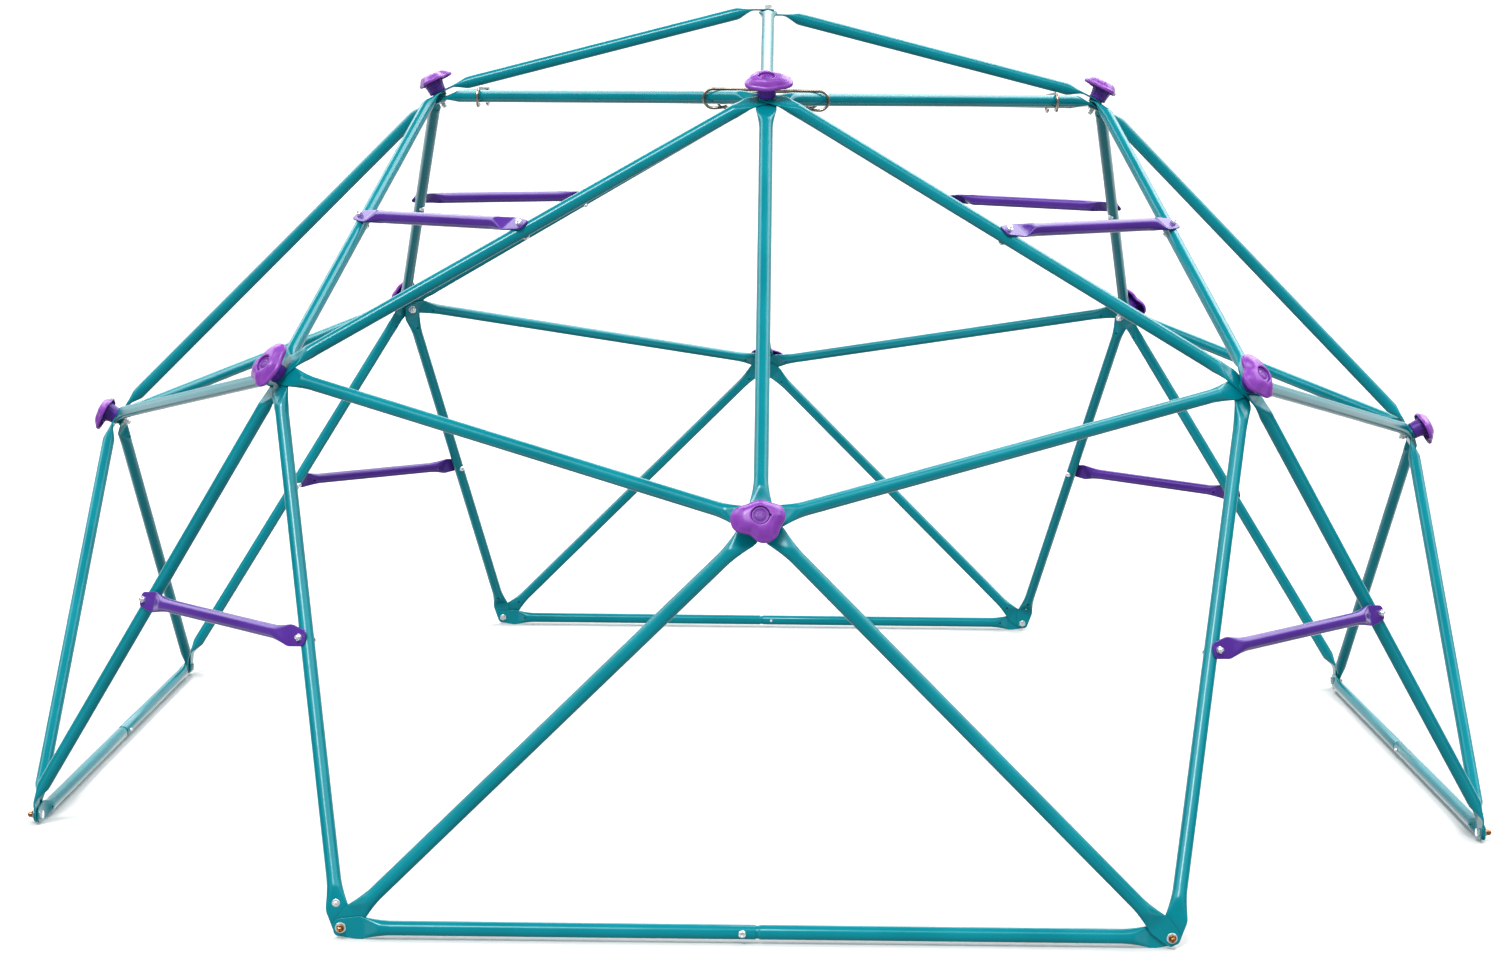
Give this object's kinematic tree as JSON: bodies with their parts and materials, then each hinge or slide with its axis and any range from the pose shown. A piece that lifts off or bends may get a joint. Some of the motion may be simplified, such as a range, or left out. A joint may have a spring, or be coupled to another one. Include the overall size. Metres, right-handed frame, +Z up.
{
  "type": "dome climber",
  "caption": "Bolted steel-tube climbing dome for a garden: triangulated bars on lobed hub caps, climbing rungs across the corners and open doorways between its feet.",
  "frame": {"origin": "on the ground under the apex, the centre of the eight feet", "axes": "+Z up through the apex; -Y towards the front side, +X to its right; the dome repeats every quarter turn about Z"},
  "size_m": [2.526, 2.526, 1.4047],
  "materials": {
    "teal_steel": "gloss powder coat",
    "purple_steel": "gloss powder coat",
    "purple_plastic": "moulded, semi-gloss",
    "plug_plastic": "moulded, semi-gloss",
    "zinc_steel": "zinc plated",
    "dome_nuts": "yellow-passivated zinc, worn",
    "hanger_wire": "bright drawn wire"
  },
  "bodies": {
    "root": {"apex_bar_back": "teal_steel", "apex_bar_front": "teal_steel", "apex_bar_left": "teal_steel", "apex_bar_right": "teal_steel", "apex_bolt": "zinc_steel", "cap_plugs": "plug_plastic", "corner_hub_caps": "purple_plastic", "corner_legs_back_left": "teal_steel", "corner_legs_back_right": "teal_steel", "corner_legs_front_left": "teal_steel", "corner_legs_front_right": "teal_steel", "foot_bolts": "zinc_steel", "foot_nuts": "dome_nuts", "foot_screws": "zinc_steel", "foot_washers": "zinc_steel", "ground_insert_back": "teal_steel", "ground_insert_front": "teal_steel", "ground_insert_left": "teal_steel", "ground_insert_right": "teal_steel", "ground_sleeve_back": "teal_steel", "ground_sleeve_front": "teal_steel", "ground_sleeve_left": "teal_steel", "ground_sleeve_right": "teal_steel", "hub_bolts": "zinc_steel", "hub_nuts": "zinc_steel", "hub_washers": "zinc_steel", "joint_screws": "zinc_steel", "lower_rung_back_left": "purple_steel", "lower_rung_back_right": "purple_steel", "lower_rung_front_left": "purple_steel", "lower_rung_front_right": "purple_steel", "ring_bar_back_left": "teal_steel", "ring_bar_back_right": "teal_steel", "ring_bar_front_left": "teal_steel", "ring_bar_front_right": "teal_steel", "ring_hub_caps": "purple_plastic", "rung_bolts": "zinc_steel", "rung_nuts": "zinc_steel", "side_hub_caps": "purple_plastic", "side_legs_back": "teal_steel", "side_legs_front": "teal_steel", "side_legs_left": "teal_steel", "side_legs_right": "teal_steel", "spokes_back_left": "teal_steel", "spokes_back_right": "teal_steel", "spokes_front_left": "teal_steel", "spokes_front_right": "teal_steel", "strut_back": "teal_steel", "strut_front": "teal_steel", "strut_left": "teal_steel", "strut_right": "teal_steel", "upper_rung_back_left": "purple_steel", "upper_rung_back_right": "purple_steel", "upper_rung_front_left": "purple_steel", "upper_rung_front_right": "purple_steel", "waist_bars_back": "teal_steel", "waist_bars_front": "teal_steel", "waist_bars_left": "teal_steel", "waist_bars_right": "teal_steel", "wire_hangers": "hanger_wire"}
  },
  "joints": []
}
